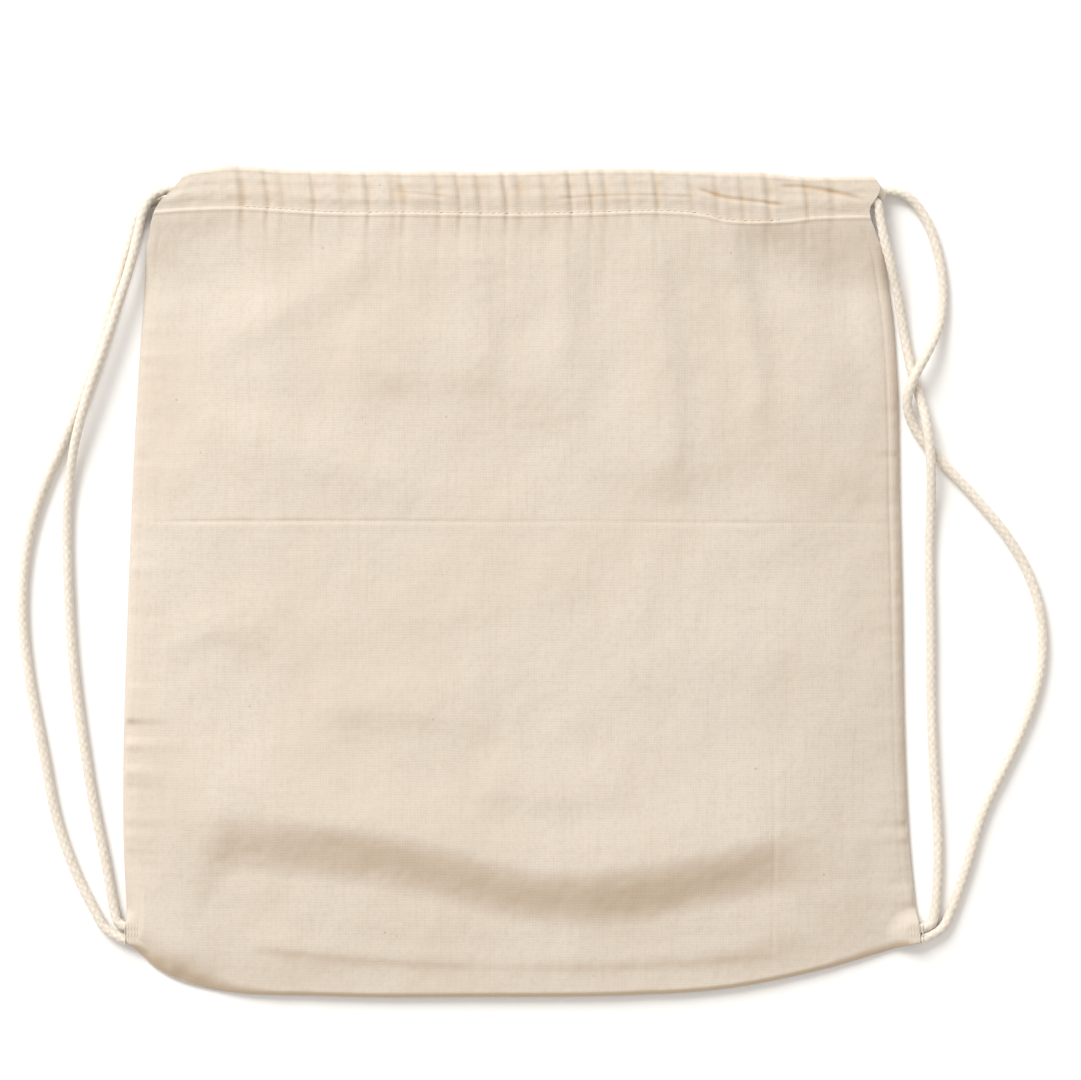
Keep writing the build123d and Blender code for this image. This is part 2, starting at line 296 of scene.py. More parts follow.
def front_height(x, y):
    """Height of the front panel's outer face."""
    left, right = x - left_edge(y), right_edge(y) - x
    side = np.minimum(left, right)
    low = y - bottom_edge(x)
    # a broad fold above the bottom: full above it, slack below
    crest = broad_crest(x)
    strong = smooth((x + 186) / 45) * smooth((186 - x) / 70)
    off = y - crest
    slack = smooth((6 - off) / (34 + 70 * (1 - strong)))
    full = CROWN + (MOUTH_CROWN - casing_drop(x)) * smooth((y - 60) / 125)
    fullness = full * (1 - slack) + SLACK_HEIGHT * slack
    fullness = fullness + BROAD_FOLD * strong * np.exp(-(np.clip(off, 0, None) / 30) ** 2) * (1 - slack)
    at_edge = 0.28 - 0.06 * smooth(x / 40)
    inward = np.clip(side, 0, None)
    rise = at_edge * (1 - np.exp(-inward / 2.4)) + (1 - at_edge) * (1 - np.exp(-inward / 50))
    rise = rise + (1 - rise) * 0.94 * smooth((y - SLIT_Y + 16) / 40)
    width = 3.6 + 6 * smooth((-x - 120) / 45) + 2 * smooth((x - 140) / 40)
    near = np.clip(low / width, 0, 1)
    rise = rise * (0.62 * np.sqrt(1 - (1 - near) ** 2) + 0.38 * smooth(low / 40))
    z = SEAM_Z + (fullness - SEAM_Z) * np.clip(rise, 0, 1)
    inner = smooth(side / 24) * smooth(low / 26)
    # broad undulations, stronger and more upright towards the mouth
    up = smooth((y + 40) / 220)
    z = z + inner * (0.9 * noise(x, y, 88, 70, 3) + 0.55 * up * noise(x, y, 24, 120, 5)
                     + 0.42 * noise(x, y, 34, 26, 8) + 0.22 * noise(x, y, 15, 17, 9))
    for line, height, above, below in ACROSS_FOLDS:
        z = z + inner * fold(x, y, line, height, above, below)
    for line, height, beyond, before in UPRIGHT_FOLDS:
        z = z + inner * fold(y, x, line, height, beyond, before, fade=26)
    # the gathers of the casing die away below the stitch row
    below = np.clip(ROW_Y - y, 0, None)
    z = z + smooth(side / 10) * mouth_puckers(x) * (0.55 * np.exp(-below / 7) + 0.28 * np.exp(-below / 26))
    z = z - 0.55 * smooth(side / 4) * creased(x, shifted(x, y))
    # packing crease across the bag and a shorter one up its right side
    crease = y - CREASE_Y + 1.2 * smooth((x + 40) / 160) - 0.5 * noise(x, 0 * x, 60, 1, 30)
    pressed = 0.55 + 0.45 * smooth((-30 - x) / 60) - 0.25 * smooth((x - 120) / 40)
    uneven = 1 + 0.3 * noise(x, 0 * x, 14, 1, 31)
    z = z + inner * pressed * (-0.30 * ridge(crease, 0.9) + 0.08 * ridge(crease + 2.6, 2.0)) * uneven
    upright = x - CREASE_X - 0.5 * noise(y, 0 * y, 45, 1, 33)
    z = z + inner * smooth((-y - 62) / 30) * (-0.16 * ridge(upright, 1.0) + 0.06 * ridge(upright - 3.0, 2.2))
    # seam puckers and the soft grain of washed cotton
    for strength, edge, bottom, top, seed in SEAM_PUCKERS:
        z = z + strength * edge_puckers(x, y, edge(y), bottom, top, seed)
    z = z + smooth(side / 8) * (0.13 * noise(x, y, 9, 11, 50) + 0.06 * noise(x, y, 3.6, 4.2, 51))
    # a seam turned in along the sides, and narrow hems where the front and back part above it
    marked = smooth(low / 12) * (0.25 + 0.45 * smooth(x / 40) * smooth((y + 70) / 60))
    z = z + marked * (0.3 * ridge(side - 2.8, 2.0) - 0.42 * ridge(side - 5.8, 0.9))
    # the stitch row pulls the cloth in between the hem's folds
    z = z - 0.30 * ridge(y - ROW_Y, 0.8) + 0.30 * ridge(y - ROW_Y + 1.7, 0.9)
    # the bottom left corner stands up and folds over steeply
    ragged = 1.3 * noise(x, y, 7, 9, 95)
    stood = 1.2 + 7.2 * (1 - np.exp(-((np.clip(low, 0, None) + ragged * smooth(low / 4)).clip(0) / 7.2) ** 1.1))
    stood = np.minimum(stood, 3.4 + 0.5 * side)
    z = z + smooth((x + 199) / 6) * smooth((-142 - x) / 30) * smooth((46 - low) / 34) * (stood - z)
    # room over the sewn cord ends in the bottom corners
    for corner in (-1, 1):
        away = np.hypot((x - corner * (CORNER_X - 2)) / 10.5, (y - CORNER_Y - 4.5) / 8.5)
        z = z + (np.maximum(z, CORNER_ROOM) - z) * smooth(1.5 - away)
    return z


def casing_profile(count_top, count_under):
    """The front casing's section from the stitch row over the top edge to its turned-in hem, as (y, z) offsets
    from (CASING_Y, centre height). The two strands inside show as two soft ridges."""
    points = []
    reach = HALF_DEPTH - HALF_HEIGHT
    for share in np.linspace(0, 1, count_top):
        y = -HALF_DEPTH + 0.6 + (reach + HALF_DEPTH - 0.6) * share
        two = 0.16 * (ridge(y - 3.3, 2.3) + ridge(y + 3.3, 2.3)) - 0.08
        first = 0.6 * (1 - smooth((y + HALF_DEPTH) / 5.5))
        points.append((y, HALF_HEIGHT - 0.4 + two - first))
    for angle in np.linspace(80, -80, 11):
        turn = math.radians(angle)
        points.append((reach + HALF_HEIGHT * math.cos(turn), (HALF_HEIGHT - 0.3) * math.sin(turn)))
    for share in np.linspace(0, 1, count_under):
        points.append((reach - (reach + HALF_DEPTH - 1.5) * share, -HALF_HEIGHT + 0.35))
    return np.array(points)


# ------------------------------------------------------------------ mesh helpers
def new_mesh(name, points, faces, material):
    """A mesh object from points in millimetres."""
    mesh = bpy.data.meshes.new(name)
    mesh.from_pydata((np.asarray(points) * MM).tolist(), [], faces)
    mesh.validate()
    mesh.update()
    mesh.polygons.foreach_set("use_smooth", [True] * len(mesh.polygons))
    mesh.materials.append(material)
    obj = bpy.data.objects.new(name, mesh)
    bpy.context.scene.collection.objects.link(obj)
    return obj


def grid_faces(rows, columns, closed=False):
    """Quads of a grid of points, rows by columns, wrapped round its columns if closed."""
    last = columns if closed else columns - 1
    faces = []
    for row in range(rows - 1):
        here, above = row * columns, (row + 1) * columns
        for c in range(last):
            after = (c + 1) % columns
            faces.append((here + c, here + after, above + after, above + c))
    return faces


def thicken(obj, thickness, offset):
    """Give a sheet its cloth thickness, with the modifier applied."""
    modifier = obj.modifiers.new("thickness", "SOLIDIFY")
    modifier.thickness = thickness * MM
    modifier.offset = offset
    modifier.use_even_offset = False
    apply_modifiers(obj)


def apply_modifiers(obj):
    depsgraph = bpy.context.evaluated_depsgraph_get()
    mesh = bpy.data.meshes.new_from_object(obj.evaluated_get(depsgraph))
    obj.modifiers.clear()
    obj.data = mesh


def paint_fold_shade(obj):
    """Store painted shade, a warmer and deeper colour, on the flanks that lean down the bag away from the key
    light, and in the creases and gathers of the mouth.
    """
    mesh = obj.data
    normals, points = (np.empty(len(mesh.vertices) * 3, np.float32) for _ in range(2))
    mesh.vertex_normals.foreach_get("vector", normals)
    mesh.vertices.foreach_get("co", points)
    across, along, up = normals.reshape(-1, 3).T
    x, y, _ = (points.reshape(-1, 3) / MM).T
    # painted shade on flanks that face away from the key light at the upper left, less of it near the mouth
    lean = (0.25 * across - 0.9 * along) / np.maximum(np.abs(up), 0.25)
    tone = 0.8 * smooth((lean - 0.02) / 0.42) * smooth((up - 0.2) / 0.3) * (1 - 0.6 * smooth((y - 110) / 40))
    # painted shade in the pinched creases
    tone = tone + 0.75 * np.clip(creased(x, y) * (1 + 0.5 * noise(x, y, 6, 6, 90)), 0, 1)
    # painted shade in the casing's gathers and in the cloth hanging below them
    gathered = smooth((y - 186 - 5 * noise(x, 0 * x, 9, 1, 91)) / 6)
    gathered = gathered * smooth((202 - y - 4 * noise(x, 0 * x, 7, 1, 92)) / 5)
    hanging = 0.35 * smooth((y - 168 - 9 * noise(x, 0 * x, 8, 1, 93)) / 12) * smooth((185 - y) / 2)
    tone = tone + mouth_puckers(x, tone=True) * (0.62 * gathered + hanging * 0.7)
    stored = mesh.attributes.new("painted_fold_shade", "FLOAT", "POINT")
    stored.data.foreach_set("value", np.clip(tone, 0, 1).astype(np.float32))


def blend_both_ends(obj, body, stretches):
    """Blend a piece from the bag to a body and back: the smaller share of two stretches.

    Each stretch is (start, end) in millimetres.
    """
    weights = []
    for start, end in stretches:
        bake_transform(obj, "bag", body, start=[value * MM for value in start], end=[value * MM for value in end])
        values = np.empty(len(obj.data.vertices), np.float32)
        obj.data.attributes["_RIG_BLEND"].data.foreach_get("value", values)
        weights.append(values)
    smaller = np.minimum(*weights)
    obj.data.attributes["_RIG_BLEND"].data.foreach_set("value", smaller)
    return smaller


def opens_with_mouth(obj, always_front=True):
    """Blend a piece between the bag and its front: it lifts in the middle and stays at the side seams."""
    middle = (CASING_MIDDLE, 0, 0)
    lifted = blend_both_ends(obj, "front", (((CASING_LEFT, 0, 0), middle), ((CASING_RIGHT, 0, 0), middle)))
    if not always_front:
        heights = np.array([vertex.co.z for vertex in obj.data.vertices]) / MM
        lifted = lifted * (heights > (BACK_Z + FRONT_Z - CASING_SAG) / 2)
    obj.data.attributes["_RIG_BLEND"].data.foreach_set("value", lifted.astype(np.float32))


# ------------------------------------------------------------------ materials
def node_tree(name, colour, roughness):
    """A principled material and its tree, in the colour given in linear light."""
    material = bpy.data.materials.new(name)
    material.use_nodes = True
    tree = material.node_tree
    shader = tree.nodes["Principled BSDF"]
    shader.inputs["Base Color"].default_value = (*colour, 1)
    shader.inputs["Roughness"].default_value = roughness
    shader.inputs["Specular IOR Level"].default_value = 0.18
    return material, tree, shader


def add_node(tree, kind, links=None, **settings):
    """A node with its settings, and its inputs linked from other sockets or set to values."""
    node = tree.nodes.new(kind)
    for key, value in settings.items():
        setattr(node, key, value)
    for key, value in (links or {}).items():
        if isinstance(value, bpy.types.NodeSocket):
            tree.links.new(value, node.inputs[key])
        else:
            node.inputs[key].default_value = value
    return node


def mapped(tree, scale):
    """Object coordinates stretched by scale, one value each way."""
    place = add_node(tree, "ShaderNodeTexCoord")
    mapping = add_node(tree, "ShaderNodeMapping", {"Vector": place.outputs["Object"], "Scale": scale})
    return mapping.outputs["Vector"]


def noise_texture(tree, scale, detail=None, **more):
    """A noise texture stretched by scale."""
    links = {"Vector": mapped(tree, scale), "Scale": 1.0, **more}
    if detail is not None:
        links["Detail"] = detail
    return add_node(tree, "ShaderNodeTexNoise", links)


def shaded(colour, shades):
    """A colour with each channel multiplied by its shade, no brighter than white."""
    return tuple(min(1.0, part * shade) for part, shade in zip(colour, shades)) + (1,)


def band(tree, value, low, high):
    """Value mapped to 0 at low and 1 at high."""
    ranged = add_node(tree, "ShaderNodeMapRange", {"Value": value, "From Min": low, "From Max": high})
    return ranged.outputs["Result"]


def combine(tree, operation, first, second):
    return add_node(tree, "ShaderNodeMath", {0: first, 1: second}, operation=operation).outputs[0]


def mix_colour(tree, factor, first, second):
    node = tree.nodes.new("ShaderNodeMix")
    node.data_type = "RGBA"
    for index, value in ((0, factor), (6, first), (7, second)):
        if isinstance(value, bpy.types.NodeSocket):
            tree.links.new(value, node.inputs[index])
        else:
            node.inputs[index].default_value = value
    return node.outputs[2]


def textile_sheen(shader):
    shader.inputs["Sheen Weight"].default_value = 0.22
    shader.inputs["Sheen Roughness"].default_value = 0.55


def woven_cotton(name, colour, thread_pitch=0.0008):
    """Unbleached plain weave: crossing threads of uneven thickness, slubs, and scattered seed specks."""
    material, tree, shader = node_tree(name, colour, 0.92)
    textile_sheen(shader)
    # warp along Y and weft along X, bent a little by noise so that the threads wander
    wander = noise_texture(tree, (60, 60, 60), 1.0)
    place = add_node(tree, "ShaderNodeTexCoord").outputs["Object"]
    bend = add_node(tree, "ShaderNodeVectorMath", {0: wander.outputs["Color"], 1: (0.0011, 0.0011, 0.0011)},
                    operation="MULTIPLY").outputs[0]
    woven = add_node(tree, "ShaderNodeVectorMath", {0: place, 1: bend}, operation="ADD").outputs[0]
    axes = add_node(tree, "ShaderNodeSeparateXYZ", {"Vector": woven})
    turns = math.pi / thread_pitch
    phases = [combine(tree, "MULTIPLY", axes.outputs[axis], turns) for axis in "XY"]
    warp, weft = (combine(tree, "SINE", phase, 0.0) for phase in phases)
    cells = combine(tree, "MULTIPLY", combine(tree, "MULTIPLY", warp, weft), 0.35)
    ribs = combine(tree, "ADD", combine(tree, "ABSOLUTE", warp, 0.0), combine(tree, "ABSOLUTE", weft, 0.0))
    threads = combine(tree, "MULTIPLY", combine(tree, "ADD", ribs, cells), 0.5)
    # slubs: long thin streaks in both thread directions
    warp_slub = noise_texture(tree, (620, 34, 300), 3.0)
    weft_slub = noise_texture(tree, (30, 560, 300), 3.0)
    cloud = noise_texture(tree, (14, 11, 14), 4.0)
    speck = add_node(tree, "ShaderNodeTexVoronoi", {"Vector": mapped(tree, (88, 70, 80)), "Scale": 1.0})
    speck_kind = noise_texture(tree, (47, 47, 47))
    grain = noise_texture(tree, (520, 430, 400), 4.0)
    deeper = shaded(colour, (0.86, 0.80, 0.72))
    paler = shaded(colour, (1.04, 1.055, 1.08))
    tone = mix_colour(tree, band(tree, cloud.outputs["Fac"], 0.34, 0.68), (*colour, 1), paler)
    streaks = ((warp_slub, 0.52, 0.78, 0.26), (weft_slub, 0.54, 0.80, 0.17), (grain, 0.48, 0.74, 0.34))
    for source, low, high, strength in streaks:
        streak = combine(tree, "MULTIPLY", band(tree, source.outputs["Fac"], low, high), strength)
        tone = mix_colour(tree, streak, tone, deeper)
    tone = mix_colour(tree, combine(tree, "MULTIPLY", band(tree, threads, 0.55, 0.1), 0.22), tone, deeper)
    # painted shade: folds, creases and gathers turned from the light get a warmer, deeper colour, which the mesh
    # carries as an attribute
    painted_shade_colour = shaded(colour, (0.87, 0.76, 0.62))
    folds = add_node(tree, "ShaderNodeAttribute", attribute_name="painted_fold_shade")
    tone = mix_colour(tree, folds.outputs["Fac"], tone, painted_shade_colour)
    dot = band(tree, speck.outputs["Distance"], 0.065, 0.025)
    rare = band(tree, speck_kind.outputs["Fac"], 0.54, 0.60)
    seed = shaded(colour, (0.62, 0.50, 0.38))
    tone = mix_colour(tree, combine(tree, "MULTIPLY", combine(tree, "MULTIPLY", dot, rare), 0.6), tone, seed)
    tree.links.new(tone, shader.inputs["Base Color"])
    slubs = combine(tree, "ADD", combine(tree, "MULTIPLY", warp_slub.outputs["Fac"], 0.9),
                    combine(tree, "MULTIPLY", weft_slub.outputs["Fac"], 0.7))
    relief = combine(tree, "ADD", threads, slubs)
    bump = add_node(tree, "ShaderNodeBump", {"Height": relief, "Strength": 0.40, "Distance": 0.00020})
    tree.links.new(bump.outputs["Normal"], shader.inputs["Normal"])
    rough = add_node(tree, "ShaderNodeMapRange",
                     {"Value": cloud.outputs["Fac"], "To Min": 0.86, "To Max": 0.97})
    tree.links.new(rough.outputs["Result"], shader.inputs["Roughness"])
    return material


def spun_cotton(name, colour, fibre=900.0, depth=0.45):
    """Loose cotton fibres, for cord and thread: fine short streaks, darker where their relief is low, with
    painted shade in the hollows between the plaits.
    """
    material, tree, shader = node_tree(name, colour, 0.93)
    textile_sheen(shader)
    hairs = noise_texture(tree, (fibre, fibre * 0.4, fibre), 3.0, Distortion=0.6)
    patch = noise_texture(tree, (38, 38, 38), 2.0)
    deeper = shaded(colour, (0.74, 0.68, 0.60))
    paler = shaded(colour, (1.08, 1.08, 1.08))
    tone = mix_colour(tree, band(tree, patch.outputs["Fac"], 0.35, 0.65), (*colour, 1), paler)
    between = combine(tree, "MULTIPLY", band(tree, hairs.outputs["Fac"], 0.58, 0.34), depth)
    tone = mix_colour(tree, between, tone, deeper)
    # painted shade in the hollows between the plaits, from the attribute the braid stores
    painted_hollow_shade = add_node(tree, "ShaderNodeAttribute", attribute_name="hollow")
    tone = mix_colour(tree, combine(tree, "MULTIPLY", painted_hollow_shade.outputs["Fac"], 0.5), tone, deeper)
    tree.links.new(tone, shader.inputs["Base Color"])
    bump = add_node(tree, "ShaderNodeBump",
                    {"Height": hairs.outputs["Fac"], "Strength": 0.5, "Distance": 0.00025})
    tree.links.new(bump.outputs["Normal"], shader.inputs["Normal"])
    return material


CLOTH_COLOUR = (0.665, 0.587, 0.500)
CORD_COLOUR = (0.82, 0.765, 0.69)
THREAD_COLOUR = (0.70, 0.625, 0.54)
cloth_material = woven_cotton("cotton_cloth", CLOTH_COLOUR)
cord_material = spun_cotton("cotton_cord", CORD_COLOUR)
thread_material = spun_cotton("sewing_thread", THREAD_COLOUR, fibre=2200.0, depth=0.3)


# ------------------------------------------------------------------ cords
PLAIT_LENGTH = 4.4           # along the cord, from one plait to the next of its hand
PLAIT_FLOOR = 0.87           # the hollows between plaits, as a share of the radius
SEWN_Y = -176                # the strands follow the bag below this, at their sewn ends
FREE_LOW_Y, FREE_HIGH_Y = -148, 160    # and their strap between these


def route_points(name, points):
    """Points along the smooth line of a route: a NURBS spline with the route's points as its control points."""
    data = bpy.data.curves.new(name + "_line", "CURVE")
    data.dimensions = "3D"
    spline = data.splines.new("NURBS")
    spline.points.add(len(points) - 1)
    for control, point in zip(spline.points, points):
        control.co = (*(value * MM for value in point), 1)
    spline.order_u = 3
    spline.use_endpoint_u = True
    spline.resolution_u = 14
    line = bpy.data.objects.new(name + "_line", data)
    mesh = bpy.data.meshes.new_from_object(line)
    found = np.array([vertex.co for vertex in mesh.vertices], float)
    bpy.data.objects.remove(line)
    bpy.data.curves.remove(data)
    bpy.data.meshes.remove(mesh)
    return found


def even_steps(path, step):
    """The path walked in equal steps."""
    lengths = np.concatenate([[0], np.cumsum(np.linalg.norm(np.diff(path, axis=0), axis=1))])
    count = max(int(lengths[-1] / step), 4)
    marks = np.linspace(0, lengths[-1], count)
    walked = np.stack([np.interp(marks, lengths, path[:, axis]) for axis in range(3)], axis=1)
    for _ in range(3):
        walked[1:-1] = (walked[:-2] + 2 * walked[1:-1] + walked[2:]) / 4
    return walked, marks


def braided_tube(name, path, diameter, material, step=0.55, around=20, squeeze=None):
    """A round braid along a path in metres: diamond-shaped plaits that stand out from a solid core."""
    line, marks = even_steps(path, step * MM)
    tangents = np.gradient(line, axis=0)
    tangents /= np.linalg.norm(tangents, axis=1)[:, None]
    normal = np.cross(tangents[0], (0, 0, 1))
    normal /= np.linalg.norm(normal)
    points, hollows = [], []
    angles = np.linspace(0, 2 * math.pi, around, endpoint=False)
    for place, tangent, mark in zip(line, tangents, marks):
        normal = normal - tangent * np.dot(normal, tangent)
        normal /= np.linalg.norm(normal)
        side = np.cross(tangent, normal)
        twist = mark / MM * math.pi / PLAIT_LENGTH
        strand = np.abs(np.sin(2 * angles + twist) * np.sin(2 * angles - twist)) ** 0.5
        wander = 0.005 * math.sin(mark / MM * 0.37) + 0.004 * math.sin(mark / MM * 0.91 + 1)
        radius = diameter / 2 * (PLAIT_FLOOR + (1 - PLAIT_FLOOR) * strand + wander)
        ring = np.outer(np.cos(angles) * radius, normal) + np.outer(np.sin(angles) * radius, side)
        if squeeze is not None:
            ring[:, 2] *= squeeze(place / MM)
        points.extend((place + ring) / MM)
        hollows.extend(1 - strand)
    rows = len(line)
    faces = grid_faces(rows, around, closed=True)
    faces.append(tuple(range(around))[::-1])
    faces.append(tuple(range((rows - 1) * around, rows * around)))
    obj = new_mesh(name, points, [face[::-1] for face in faces], material)
    # how far each point lies down between the plaits, stored for painted shade in the cord's hollows
    hollow = obj.data.attributes.new("hollow", "FLOAT", "POINT")
    hollow.data.foreach_set("value", np.array(hollows, np.float32))
    return obj


END_Z = FRONT_Z - CASING_SAG     # the strands' height at the ends of the front casing
STRAND_LEFT, STRAND_RIGHT = CASING_LEFT + 3, CASING_RIGHT - 3
STRANDS = {
    "left_inner": (
        (STRAND_LEFT, HIGH_Y, END_Z), (-177.5, HIGH_Y, END_Z), (-184.8, 193.2, 9.6), (-189, 185.5, 9.3),
        (-191, 176.7, 8.8), (-195, 160, OVER), (-201, 141, OVER), (-208.3, 119, OVER), (-216.5, 96, OVER),
        (-223.5, 72, 6), (-227, 50, 3), (-228.3, 28, LAY), (-227.3, -4, LAY), (-225.3, -38, LAY),
        (-220.5, -74, LAY), (-215.2, -108, LAY), (-209, -136, LAY), (-204.2, -164, LAY),
        (-202, -170.5, 3.2), (-192.5, -171.6, 3.4),
    ),
    "left_outer": (
        (STRAND_LEFT, LOW_Y, BACK_Z), (-179.5, LOW_Y, BACK_Z), (-188, 190.3, BACK_Z), (-193, 183.3, 3.2),
        (-195.3, 174.8, LAY), (-201, 156, LAY), (-207.5, 131, LAY), (-216.5, 104, LAY), (-227.5, 76, LAY),
        (-240, 49, LAY), (-248.5, 20, LAY), (-251, -12, LAY), (-247, -48, LAY), (-239.5, -84, LAY),
        (-234, -116, LAY), (-223.5, -145, LAY), (-213.6, -163.7, LAY), (-208, -173.8, 3),
        (-197.5, -177.4, 3.4),
    ),
    "right_inner": (
        (STRAND_RIGHT, LOW_Y, END_Z), (175.6, LOW_Y, END_Z), (176.2, 184, 9.5), (178.9, 171, 9.2),
        (182.7, 158, 8), (186.4, 144, 4.6), (189.5, 125, LAY), (193.6, 105, LAY), (198.3, 90, 4.6),
        (200.6, 78, OVER), (202.6, 58, OVER), (203, 38, 3.4), (202, 14, LAY), (203.2, -22, LAY),
        (203, -60, LAY), (204.8, -98, LAY), (207.3, -132, LAY), (205.3, -165, LAY), (202.5, -171.4, 3.2),
        (192.5, -172, 3.4),
    ),
    "right_outer": (
        (STRAND_RIGHT, HIGH_Y, BACK_Z), (184, HIGH_Y, BACK_Z), (192.5, 193.5, 3.2), (199.5, 184.5, LAY),
        (203.6, 175.9, LAY), (207.5, 162, LAY), (209.5, 146, LAY), (207.8, 130, 3.4), (201.5, 117, OVER),
        (191.5, 99, OVER), (190.4, 88, 5.2), (195, 77, LAY), (205, 64.5, LAY), (224.5, 44.5, LAY),
        (243.5, 22, LAY), (256, -3, LAY), (260, -30, LAY), (255.5, -56, LAY), (243.5, -84, LAY),
        (228.5, -113, LAY), (221.5, -140, LAY), (212.6, -164.7, LAY), (208, -173.4, 3),
        (197.5, -177, 3.4),
    ),
}


def build_straps():
    """The four free strands, each from its casing end to its sewn end in a bottom corner."""
    for name, points in STRANDS.items():
        side = name.split("_")[0]
        points = [(x, float(shifted(x, y)) if count < 2 else y, z) for count, (x, y, z) in enumerate(points)]
        path = route_points(name, points)
        piece = braided_tube(f"{name}_cord", path, CORD * MM, cord_material)
        start = points[0]
        top, bottom = ((0, start[1], 0), (0, FREE_HIGH_Y, 0)), ((0, SEWN_Y, 0), (0, FREE_LOW_Y, 0))
        blend_both_ends(piece, f"{side}_strap", (top, bottom))
        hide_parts(f"{name}_exit", f"{name}_strap", f"{name}_tail")


# ------------------------------------------------------------------ cloth
def panel_point(s, t, top=ROW_Y):
    """The point of the panel at share s across and t up, in the outline of the bag."""
    y = CORNER_Y + (top - CORNER_Y) * t
    x = left_edge(y) * (1 - s) + right_edge(y) * s
    low = bottom_edge(x)
    return x, low + (top - low) * t


def shares(count, crowd):
    """Shares from 0 to 1 that crowd towards both ends."""
    even = np.linspace(-1, 1, count)
    return (even * (1 - crowd) + crowd * np.sin(even * math.pi / 2) + 1) / 2


ACROSS, UP = 620, 640              # points across and up the front panel
BACK_ACROSS, BACK_UP = 300, 260    # and the back panel


def casing_rows(s, profile, middle_z, lift):
    """Points of a casing along its profile, puckered on its outer face and less on its inner one."""
    rows = []
    for y_off, z_off in profile:
        y = CASING_Y + y_off + 0 * s
        x = left_edge(y) * (1 - s) + right_edge(y) * s
        y_share = (y_off + HALF_DEPTH) / (2 * HALF_DEPTH)
        ends = smooth((x - left_edge(y)) / 9) * smooth((right_edge(y) - x) / 9)
        outer = min(max(z_off / 0.8, -0.2), 1)
        middle = 0.55 + 0.45 * math.sin(math.pi * min(max(y_share, 0), 1))
        z = middle_z(x) + z_off * (1 - (1 - ends) * 0.06)
        relief = 0.95 * middle * mouth_puckers(x + 0.12 * y_off) + 0.10 * noise(x, y, 4, 3, 61)
        z = z + lift * outer * ends * relief
        if outer > 0.9:
            z = z - 0.55 * lift * creased(x, shifted(x, y))
        wavy = 0.45 * noise(x, 0 * x + y_off, 13, 30, 60) + 0.25 * mouth_puckers(x)
        y = shifted(x, y) + wavy * smooth((y_share - 0.75) / 0.25) * ends
        rows.append(np.stack([x, y, z], axis=1))
    return rows


def crown(x):
    return FRONT_Z - casing_drop(x)


def front_cloth():
    """The front panel with its casing, one cloth from the bottom fold to the hem inside the casing."""
    s = shares(ACROSS, 0.35)
    rows = []
    for t in shares(UP, 0.30):
        x, y = panel_point(s, t)
        rows.append(np.stack([x, shifted(x, y), front_height(x, y)], axis=1))
    casing = casing_rows(s, casing_profile(46, 20), crown, 1.0)
    # ease the panel's last rows into the casing's first
    step = casing[0][:, 2] - 0.35 - rows[-1][:, 2]
    for row in rows:
        row[:, 2] += step * np.exp(-((ROW_Y - row[:, 1] + row_shift(row[:, 0])).clip(0) / 9) ** 2)
    points = np.concatenate(rows + casing)
    count = len(rows) + len(casing)
    piece = new_mesh("front_cloth", points, grid_faces(count, ACROSS), cloth_material)
    thicken(piece, CLOTH, -1)
    paint_fold_shade(piece)
    opens_with_mouth(piece)
    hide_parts("front_panel", "front_left_margin", "front_right_margin", "front_casing",
                "left_front_slit_hem", "right_front_slit_hem")
    return piece


def back_cloth():
    """The back panel on the floor, with its own casing."""
    s = shares(BACK_ACROSS, 0.35)
    rows = []
    for t in shares(BACK_UP, 0.30):
        x, y = panel_point(s, t)
        side = np.minimum(x - left_edge(y), right_edge(y) - x)
        edge = np.minimum(side, y - bottom_edge(x))
        z = FLOOR_GAP + CLOTH + 0.35 * np.exp(-np.clip(edge, 0, None) / 2.5)
        z = z + 0.12 * (1 + noise(x, y, 24, 31, 70))
        rows.append(np.stack([x, shifted(x, y), z], axis=1))
    casing = casing_rows(s, casing_profile(20, 16), lambda x: 0 * x, 0.5)
    for row in casing:
        row[:, 2] = np.maximum(BACK_Z - row[:, 2], FLOOR_GAP + CLOTH)
    points = np.concatenate(rows + casing)
    faces = [face[::-1] for face in grid_faces(len(rows) + len(casing), BACK_ACROSS)]
    piece = new_mesh("back_cloth", points, faces, cloth_material)
    thicken(piece, CLOTH, -1)
    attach(piece, "bag")
    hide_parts("back_panel", "back_casing", "left_back_slit_hem", "right_back_slit_hem")
    return piece


def side_seams():
    """The turned-in seam allowances between the panels, below the slits."""
    for name, edge, inward in (("left", left_edge, 1), ("right", right_edge, -1)):
        rows = []
        for y in np.linspace(CORNER_Y + 2, SLIT_Y, 420):
            wave = 0.18 * noise(np.array([y]), np.array([0.0]), 5, 1, 80)[0]
            outer = edge(np.array([y]))[0] + inward * (0.25 + 0.1 * wave)
            section = ((0, 1.0), (0.5, 0.86), (3.2, 0.9), (6.4, 1.0 + wave), (6.6, 1.25), (6.2, 1.55 + wave),
                       (3.2, 1.75), (0.7, 1.7), (0.1, 1.4))
            rows.extend((outer + inward * x, y, z) for x, z in section)
        count = len(section)
        faces = grid_faces(len(rows) // count, count, closed=True)
        faces += [tuple(range(count))[::-1], tuple(range(len(rows) - count, len(rows)))]
        if inward < 0:
            faces = [face[::-1] for face in faces]
        piece = new_mesh(f"{name}_seam_allowance", rows, faces, cloth_material)
        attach(piece, "bag")
        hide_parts(f"{name}_side_seam")


# ------------------------------------------------------------------ stitches
STITCH_LENGTH, STITCH_PITCH, STITCH_WIDTH = 2.4, 3.2, 0.55
BACK_ROW_Z = 1.35            # the back casing's row
SEAM_ROW_Z = 1.85            # the side seams' rows
SEAM_ROW_IN = 5.2            # and how far in from the edge they run
BAR_SPACING, BAR_LENGTH = 1.5, 3.3
BAR_BASES = (-179, -175.6, -172.2)
BAR_LOW = 5.9                # the bars lie no lower than this


